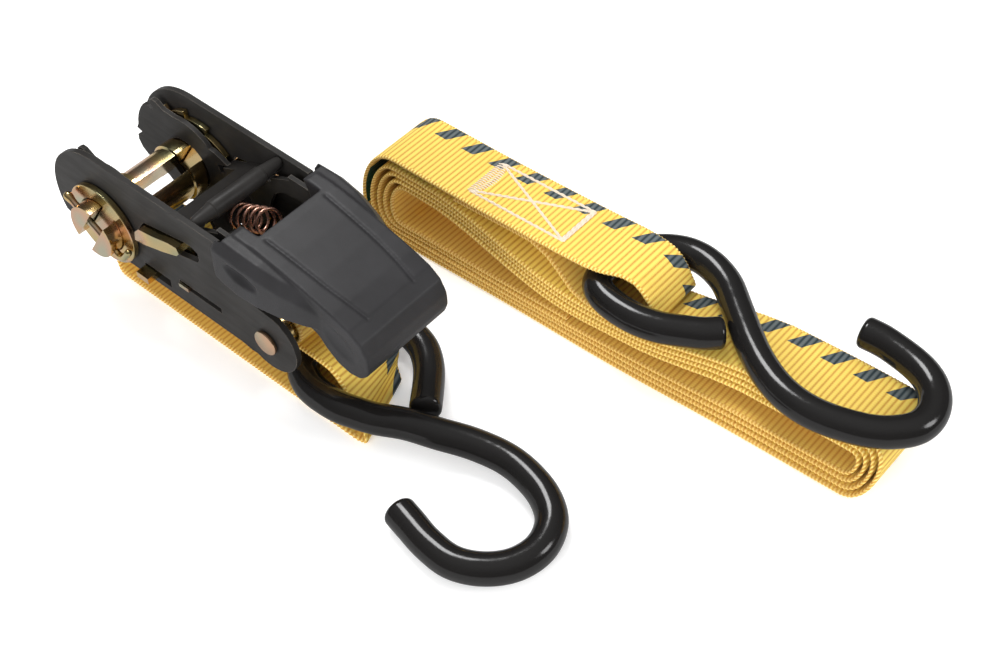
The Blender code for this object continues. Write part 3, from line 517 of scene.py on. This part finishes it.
def build_grip():
    """The moulded handle: the CAD form with its dimples and creases, remeshed and softened."""
    work = bpy.data.objects.new("grip_work", bpy.data.meshes.new("grip_work"))
    bpy.context.scene.collection.objects.link(work)
    bm = cad_bmesh("grip")
    bm.to_mesh(work.data)
    bm.free()
    tools = []
    for s in (-1, 1):
        tools.append(ellipsoid("dimple_%d" % s, (65.0, s * 24.2, 45.6 + LIFT), (7.6, 3.4, 2.9), 12.0))
        tools.append(ellipsoid("recess_%d" % s, (97.5, s * 18.6, 37.0 + LIFT), (9.0, 2.6, 5.4), 34.0))
        bm = bmesh.new()
        line = [(65.5, 12.0), (72.0, 11.7), (80.0, 11.4), (88.0, 11.0), (96.0, 10.2), (102.0, 9.4)]
        path = [(x, s * y, deck_z(x) + 0.25) for x, y in line]
        add_tube(bm, resample(path, 1.0), 0.72, 12, 3)
        tools.append(cutter("crease_%d" % s, bm))
    for tool in tools:
        mod = work.modifiers.new("cut", "BOOLEAN")
        mod.operation = "DIFFERENCE"
        mod.solver = "EXACT"
        mod.object = tool
    mod = work.modifiers.new("even_skin", "REMESH")
    mod.mode = "VOXEL"
    mod.voxel_size = 0.33 * MM
    mod.use_smooth_shade = True
    mod = work.modifiers.new("soft_edges", "SMOOTH")
    mod.factor = 0.5
    mod.iterations = 14
    bpy.context.view_layer.update()
    depsgraph = bpy.context.evaluated_depsgraph_get()
    mesh = bpy.data.meshes.new_from_object(work.evaluated_get(depsgraph))
    for ob in tools + [work]:
        bpy.data.objects.remove(ob)
    mesh.shade_smooth()
    place("grip_fine", mesh, plastic, "grip", "grip")


# ---------------------------------------------------------------- hooks
def flat_patch(face):
    """The vertices of the flat patch that a face lies in."""
    patch, todo = {face}, [face]
    while todo:
        for edge in todo.pop().edges:
            if edge.calc_face_angle(1.0) < 1e-3:
                fresh = set(edge.link_faces) - patch
                patch |= fresh
                todo += fresh
    return {v for f in patch for v in f.verts}


def wire_line(node):
    """The middles of a CAD wire's rings in millimetres, walked ring by ring from one flat tip."""
    bm = cad_bmesh(node)
    bm.verts.index_update()
    ring = next(tip for tip in map(flat_patch, bm.faces) if len(tip) == WIRE_SIDES)
    seen, middles = set(), []
    while ring:
        ordered = sorted(ring, key=lambda v: v.index)
        middles.append(sum((v.co for v in ordered), Vector()) / (len(ring) * MM))
        seen |= ring
        ring = {edge.other_vert(v) for v in ring for edge in v.link_edges} - seen
    bm.free()
    return middles[RIM_RINGS:-RIM_RINGS]


def build_hooks():
    """Steel wire hooks under a dipped coat that swells a little at both tips."""
    def coat(t):
        return WIRE_R * (1.0 + 0.02 * (smooth(1 - t, 0.96, 0.99) + smooth(t, 0.96, 0.99)))

    for node in ("hook_short", "hook_long"):
        bm = bmesh.new()
        add_tube(bm, resample(wire_line(node), 1.2), coat, 40, 8, 0.33)
        place(node + "_fine", mesh_of(node, bm), coated, "vinyl", node)


# ---------------------------------------------------------------- webbing
def arc(cx, cz, r, a0, a1, n):
    """n steps along a circle from angle a0 to a1, in degrees."""
    return [(cx + r * math.cos(math.radians(a0 + (a1 - a0) * i / n)),
             cz + r * math.sin(math.radians(a0 + (a1 - a0) * i / n))) for i in range(n + 1)]


def short_line():
    """(x, z, sideways place, skew, half width) along the short strap, free end to sewn end."""
    up_free = [(30.0, 17.9), (40.0, 18.0), (50.0, 18.0), (56.4, 18.1), (58.8, 18.9), (60.8, 21.4),
               (62.6, 25.6)]
    wrap = arc(69.5, 28.5, 5.75, 168, -88, 20)
    down = [(66.8, 21.9), (64.0, 19.8), (61.2, 17.3), (58.0, 16.2), (54.0, 16.0), (40.0, 15.8),
            (20.0, 14.6), (2.0, 13.0), (-5.0, 12.4)]
    turn = arc(-6.0, 6.525, 5.875, 90, 270, 14)
    floor_run = [(x, WEB_T / 2) for x in (-2.0, 20.0, 50.0, 80.0, 90.0, 95.0)]
    fold = arc(96.6, 2.0, 1.3, -80, 80, 6)
    over = [(95.0, 3.0), (92.6, 2.6), (90.6, 3.0), (88.8, 5.2), (87.0, 8.8), (85.2, 12.4),
            (82.2, 14.6), (76.0, 15.1), (66.0, 14.9), (60.6, 13.6), (57.6, 11.2), (54.8, 7.2),
            (52.2, 3.9), (49.0, 2.6), (44.0, 2.4), (34.0, 2.4)]
    line = up_free + wrap + down + turn + floor_run + fold + over
    n_turn = len(up_free + wrap + down)
    n_fold = len(line) - len(over) - len(fold)
    out = []
    for i, (x, z) in enumerate(line):
        if i < n_fold:
            y = -2.5 * smooth(float(i), n_turn + 6, n_turn + 14)
        else:
            y = -2.5 + min(SEAM_Y + 2.5, 0.66 * max(0.0, 98.0 - x))
        skew = -4.4 * smooth(x, 85.0, 95.0) if i >= n_fold - 3 else 0.0
        out.append((x, z, y, skew, WEB_W / 2))
    return out


def coil_top(x):
    """Height of the first coil layer below the sewn end, along the coil."""
    return 26.8 - 11.2 * smooth(x, 60.0, 122.0) + 1.4 * smooth(x, 148.0, 178.0)


def long_centre(x, z):
    """Sideways place of the coil's middle: it lies askew, and its stack leans more to the right."""
    return 66.5 + 0.045 * (x - 45.0) + z * (0.17 + 0.42 * smooth(x, 130.0, 185.0))


def long_line():
    """(x, z, sideways place, skew, half width) along the coil, from its inner end to the sewn end.
    The loop around the hook moves sideways and narrows between the arms of the hook's eye."""
    def left_turn(k):
        x = 38.4 + 2.9 * (k - 1) if k else 35.0
        z0 = WEB_T / 2 + k * PITCH
        z1 = END_TOP if k == 0 else coil_top(50) - (k - 1) * PITCH
        r = (z1 - z0) / 2
        depth = r * (0.66 if k else 0.72)
        turns = [math.radians(-90 - 180 * j / 14) for j in range(15)]
        return [(x + depth + depth * math.cos(a), (z0 + z1) / 2 + r * math.sin(a)) for a in turns]

    def right_turn(k):
        x = 227.6 - 2.2 * k
        z0 = WEB_T / 2 + k * PITCH
        z1 = coil_top(200) - k * PITCH
        r = (z1 - z0) / 2
        depth = max(1.6, r * 0.8)
        turns = [math.radians(90 - 22.5 * j) for j in range(9)]
        return [(x - depth + depth * math.cos(a), (z0 + z1) / 2 + r * math.sin(a)) for a in turns]

    inner_z = WEB_T / 2 + (LAYERS - 1) * PITCH
    line = [(x, inner_z) for x in (120.0, 100.0, 80.0, 66.0)]
    top_x = [58.0, 66.0, 72.0, 78.0, 84.0, 90.0, 96.0, 102.0, 108.0, 114.0, 120.0, 126.0, 146.0,
             154.0, 162.0, 170.0, 180.0, 200.0, 212.0]
    for k in range(LAYERS - 1, 0, -1):
        line += left_turn(k)
        line += [(x, coil_top(x) - (k - 1) * PITCH) for x in top_x]
        line += right_turn(k - 1)
        line += [(x, WEB_T / 2 + (k - 1) * PITCH) for x in (205.0, 180.0, 150.0, 120.0, 90.0, 65.0)]
    line += left_turn(0)
    n_loop = len(line) + 5
    line += [(58.0, END_TOP), (75.0, END_TOP), (90.0, END_TOP), (103.0, END_TOP), (112.8, END_TOP),
             (118.0, 30.3), (123.0, 30.5), (128.0, 30.6), (134.0, 30.4), (138.4, 29.6),
             (141.6, 27.6), (144.2, 24.6), (146.0, 21.4)]
    line += arc(146.0, 18.8, 1.6, 50, -80, 6)
    line += [(143.0, 17.1), (132.0, 17.1), (125.0, 17.2), (120.0, 18.5), (114.6, 22.4),
             (109.0, 26.2), (102.0, END_UNDER), (92.0, END_UNDER), (82.0, END_UNDER),
             (72.0, END_UNDER)]
    out = []
    for i, (x, z) in enumerate(line):
        y, half = long_centre(x, z), WEB_W / 2
        if i >= n_loop and z >= 18.5:
            y += (77.9 - y) * smooth(x, 124.0, 139.0)
            half -= 2.1 * smooth(x, 125.0, 137.0)
        out.append((x, z, y, 0.0, half))
    return out


def soften(values, sigma):
    """Gaussian filter along the first axis, with both ends held."""
    half = int(3 * sigma)
    kernel = np.exp(-0.5 * (np.arange(-half, half + 1) / sigma) ** 2)
    kernel /= kernel.sum()
    first, last = values[:1], values[-1:]
    padded = np.vstack([2 * first - values[half:0:-1], values, 2 * last - values[-2:-half - 2:-1]])
    return np.stack([np.convolve(padded[:, i], kernel, "valid") for i in range(values.shape[1])], 1)


def even(line, step, blur):
    """The line at an even step along its length, with its corners softened over blur."""
    pts = np.array(line, float)
    for grid, width in ((blur / 3, 3.0), (step, 0.0)):
        run = np.concatenate([[0], np.cumsum(np.hypot(*np.diff(pts[:, :2], axis=0).T))])
        at = np.linspace(0, run[-1], max(8, int(run[-1] / grid)))
        pts = np.stack([np.interp(at, run, pts[:, i]) for i in range(pts.shape[1])], 1)
        if width:
            pts = soften(pts, width)
    return pts


def webbing(name, line, node, wobble, dashed):
    """A woven strip: cross ribs on both faces and beaded selvages, with its own coordinates.
    wobble is how far it sways sideways; dashed is 1 when the dashes are on the face to the left of
    the line's direction, else -1."""
    pts = even(line, RIB / STEPS_PER_RIB, 0.9)
    count = len(pts)
    along = np.arange(count) * RIB / STEPS_PER_RIB
    tang = np.gradient(pts[:, :2], axis=0)
    tang /= np.linalg.norm(tang, axis=1)[:, None]
    normal = np.stack([-tang[:, 1], tang[:, 0]], 1)
    rib = np.abs(np.sin(math.pi * along / RIB))
    half_w, half_t = WEB_W / 2, WEB_T / 2
    inner = np.linspace(-1, 1, 7) * (half_w - 1.0)
    ring = [(w, 1.0, 1.0) for w in inner]
    ring += [(half_w - 0.45, 0.86, 1.0), (half_w, 0.42, 1.0), (half_w, -0.42, -1.0),
             (half_w - 0.45, -0.86, -1.0)]
    ring += [(w, -1.0, -1.0) for w in inner[::-1]]
    ring += [(-half_w + 0.45, -0.86, -1.0), (-half_w, -0.42, -1.0), (-half_w, 0.42, 1.0),
             (-half_w + 0.45, 0.86, 1.0)]
    sway = wobble * (np.sin(along / 31.0) + 0.6 * np.sin(along / 13.0 + 1.3))
    verts = np.zeros((count, len(ring), 3))
    for j, (w, h, side) in enumerate(ring):
        selvage = abs(w) > half_w - 0.9
        bead = 0.16 * np.sin(2 * math.pi * along / BEAD + side * math.pi / 2) if selvage else 0.0
        place_w = w * pts[:, 4] / half_w + np.sign(w) * (bead - 0.1 * selvage)
        lift = h * (half_t - 0.02 - (0.11 * (1 - rib) if not selvage else 0.05 * (1 - rib)))
        verts[:, j, 0] = pts[:, 0] + normal[:, 0] * lift + pts[:, 3] * place_w / half_w
        verts[:, j, 1] = pts[:, 2] + sway + place_w
        verts[:, j, 2] = pts[:, 1] + normal[:, 1] * lift
    n = len(ring)
    index = np.arange(count * n).reshape(count, n)
    a, b = index[:-1], index[1:]
    quads = np.stack([a, np.roll(a, -1, 1), np.roll(b, -1, 1), b], -1).reshape(-1, 4)
    faces = quads.tolist() + [index[0][::-1].tolist(), index[-1].tolist()]
    mesh = bpy.data.meshes.new(name)
    mesh.from_pydata((verts.reshape(-1, 3) * MM).tolist(), [], faces)
    bm = bmesh.new()
    bm.from_mesh(mesh)
    bmesh.ops.recalc_face_normals(bm, faces=bm.faces)
    bm.to_mesh(mesh)
    bm.free()
    mesh.shade_smooth()
    for key, values in (("along", np.repeat(along, n)),
                        ("across", np.tile([w for w, h, s in ring], count)),
                        ("side", np.tile([dashed * s for w, h, s in ring], count))):
        layer = mesh.attributes.new(key, "FLOAT", "POINT")
        layer.data.foreach_set("value", values.astype(np.float32))
    place(name, mesh, cloth, "webbing", node)


# ---------------------------------------------------------------- sewing
def sew(bm, start, end, height, strands=(-0.22, 0.22)):
    """A row of stitches between two (x, y) points: short arched threads, two strands side by side."""
    start, end = Vector(start), Vector(end)
    step = end - start
    count = max(1, round(step.length / STITCH))
    along = step.normalized()
    square = Vector((-along.y, along.x))
    for strand, offset in enumerate(strands):
        for i in range(count):
            t0 = (i + 0.04 + 0.25 * strand) / count
            t1 = (i + 0.96 + 0.25 * strand) / count
            pts = []
            for k in range(7):
                f = k / 6
                xy = start + step * min(1.0, t0 + (t1 - t0) * f) + square * offset
                pts.append((xy.x, xy.y, height + 0.34 * math.sin(math.pi * f) - 0.22))
            add_tube(bm, pts, THREAD_R, 8, 2)


def build_stitching():
    """The box and cross on the long strap's sewn end, and a smaller box with a middle row under
    the buckle."""
    top = END_TOP + WEB_T / 2
    y = long_centre(96.0, END_TOP)
    near0, near1 = (BOX_X0, y - BOX_HALF - BOX_SKEW), (BOX_X1, y - BOX_HALF + BOX_SKEW)
    far0, far1 = (BOX_X0, y + BOX_HALF - BOX_SKEW), (BOX_X1, y + BOX_HALF + BOX_SKEW)
    bm = bmesh.new()
    for a, b in ((near0, near1), (far0, far1), (near1, far1), (near0, far1), (near1, far0)):
        sew(bm, a, b, top)
    sew(bm, (BOX_X1 - 0.8, near1[1]), (BOX_X1 - 0.8, far1[1]), top)
    for i in range(SATIN_STROKES):
        f = (i + 0.5) / SATIN_STROKES
        row = near0[1] + (far0[1] - near0[1]) * f
        reach = 1.0 + 3.4 * math.sin(math.pi * f) ** 0.7
        sew(bm, (BOX_X0 - 0.9, row - 0.3), (BOX_X0 + reach, row + 0.3), top, (0.0,))
    place("long_strap_stitching_fine", mesh_of("long_stitches", bm), thread, "thread",
          "long_strap_stitching")
    bm = bmesh.new()
    lo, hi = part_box("short_strap_stitching")
    x0, x1, y0, y1 = lo.x / MM + 0.6, hi.x / MM - 0.6, lo.y / MM + 0.6, hi.y / MM - 0.6
    height = lo.z / MM + 0.1
    for a, b in (((x0, y0), (x1, y0)), ((x0, y1), (x1, y1)), ((x0, y0), (x0, y1)),
                 ((x1, y0), (x1, y1)), (((x0 + x1) / 2, y0), ((x0 + x1) / 2, y1))):
        sew(bm, a, b, height)
    place("short_strap_stitching_fine", mesh_of("short_stitches", bm), thread, "thread",
          "short_strap_stitching")


# ---------------------------------------------------------------- stage
def build_stage():
    """Pale floor, even white sky and three soft lamps. Mirror rays see a darker floor and a sky
    that grows brighter upward, as in a studio."""
    bpy.ops.mesh.primitive_plane_add(size=6.0, location=(0, 0, -0.0002))
    floor = bpy.context.object
    floor.name = "floor"
    s = Shader("pale_floor")
    in_gloss = s.node("ShaderNodeLightPath").outputs["Is Glossy Ray"]
    s.set(Base_Color=s.mix(in_gloss, (0.84, 0.84, 0.84), (0.42, 0.42, 0.42)), Roughness=0.8,
          Specular_IOR_Level=0.2, Emission_Color=(1.0, 1.0, 1.0, 1.0),
          Emission_Strength=s.remap(in_gloss, 0.0, 1.0, 0.34, 0.06))
    floor.data.materials.append(s.mat)

    world = bpy.data.worlds.new("soft_white")
    bpy.context.scene.world = world
    world.use_nodes = True
    tree = world.node_tree
    even_sky = tree.nodes["Background"]
    even_sky.inputs["Color"].default_value = (1.0, 1.0, 1.0, 1.0)
    even_sky.inputs["Strength"].default_value = 0.78
    seen_in_gloss = tree.nodes.new("ShaderNodeBackground")
    seen_in_gloss.inputs["Strength"].default_value = 1.0
    height = tree.nodes.new("ShaderNodeSeparateXYZ")
    tree.links.new(tree.nodes.new("ShaderNodeTexCoord").outputs["Generated"], height.inputs[0])
    grade = tree.nodes.new("ShaderNodeValToRGB")
    grade.color_ramp.elements[0].color = (0.06, 0.06, 0.06, 1.0)
    grade.color_ramp.elements[1].color = (0.42, 0.42, 0.42, 1.0)
    grade.color_ramp.elements.new(0.55).color = (0.12, 0.12, 0.12, 1.0)
    tree.links.new(height.outputs["Z"], grade.inputs["Fac"])
    tree.links.new(grade.outputs["Color"], seen_in_gloss.inputs["Color"])
    choose = tree.nodes.new("ShaderNodeMixShader")
    tree.links.new(tree.nodes.new("ShaderNodeLightPath").outputs["Is Glossy Ray"], choose.inputs[0])
    tree.links.new(even_sky.outputs[0], choose.inputs[1])
    tree.links.new(seen_in_gloss.outputs[0], choose.inputs[2])
    tree.links.new(choose.outputs[0], tree.nodes["World Output"].inputs["Surface"])

    target = Vector((0.09, 0.03, 0.02))
    for name, place_at, size, power in (("key", (-0.30, 0.20, 0.90), 0.40, 5.2),
                                        ("front_fill", (0.25, -0.85, 0.45), 0.5, 5.5),
                                        ("right_rim", (0.8, 0.35, 0.45), 0.3, 1.6)):
        lamp = bpy.data.lights.new(name, "AREA")
        lamp.shape = "DISK"
        lamp.size = size
        lamp.energy = power
        ob = bpy.data.objects.new(name, lamp)
        ob.location = place_at
        ob.visible_glossy = name != "front_fill"
        ob.rotation_euler = (target - Vector(place_at)).to_track_quat("-Z", "Y").to_euler()
        bpy.context.scene.collection.objects.link(ob)
    bpy.context.scene.view_settings.view_transform = "Standard"


def build_camera():
    """A long view from the front right, above the buckle."""
    cam = bpy.data.cameras.new("camera")
    cam.lens = CAM_LENS
    cam.sensor_width = CAM_SENSOR
    cam.clip_start = 0.01
    ob = bpy.data.objects.new("camera", cam)
    turn = (Matrix.Rotation(math.radians(CAM_YAW), 4, "Z")
            @ Matrix.Rotation(math.radians(90.0 - CAM_PITCH), 4, "X")
            @ Matrix.Rotation(math.radians(CAM_ROLL), 4, "Z"))
    ob.matrix_world = Matrix.Translation(Vector(CAM_AT) * MM) @ turn
    bpy.context.scene.collection.objects.link(ob)
    bpy.context.scene.camera = ob


build_buckle()
build_cotters()
build_springs()
build_grip()
build_hooks()
webbing("short_strap_woven", short_line(), "short_strap", 0.0, -1.0)
webbing("long_strap_woven", long_line(), "long_strap", 0.28, 1.0)
build_stitching()
build_stage()
build_camera()

bpy.context.view_layer.update()
